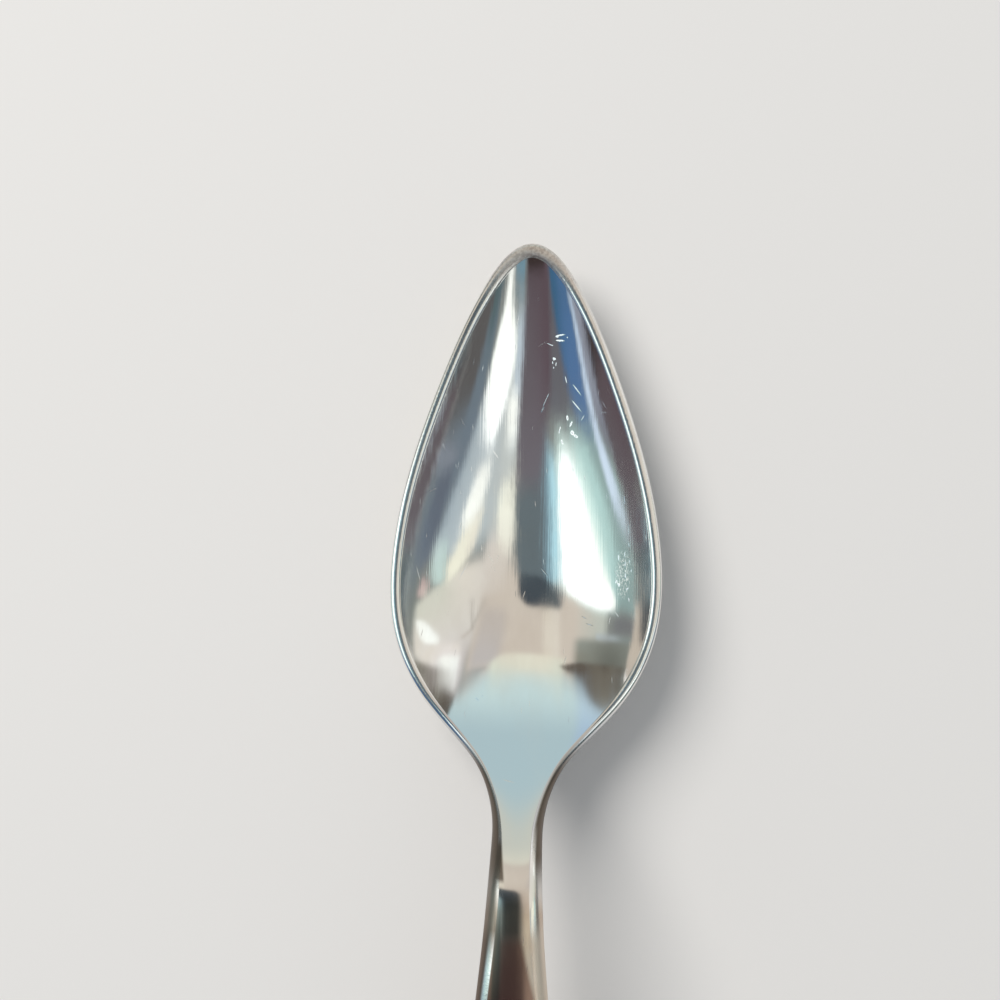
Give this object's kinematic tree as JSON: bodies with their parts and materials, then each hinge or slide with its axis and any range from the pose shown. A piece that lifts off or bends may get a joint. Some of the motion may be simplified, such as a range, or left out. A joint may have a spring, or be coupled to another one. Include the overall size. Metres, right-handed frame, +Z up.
{
  "type": "grapefruit spoon",
  "caption": "Silver-plated grapefruit spoon with a pointed oval bowl, a rounded rim, a slim neck and a gently arched handle that widens to a round end.",
  "frame": {"origin": "centre of the spoon's length and width, on the table that it lies on", "axes": "+Y along the spoon toward the bowl's tip, +X to the right seen from above with the tip up, +Z up out of the bowl"},
  "size_m": [0.027, 0.15, 0.0177],
  "materials": {
    "silver_plate": "polished silver plate with fine use scratches"
  },
  "bodies": {
    "root": {"bowl": "silver_plate", "neck": "silver_plate", "stem": "silver_plate", "handle_end": "silver_plate"}
  },
  "joints": []
}
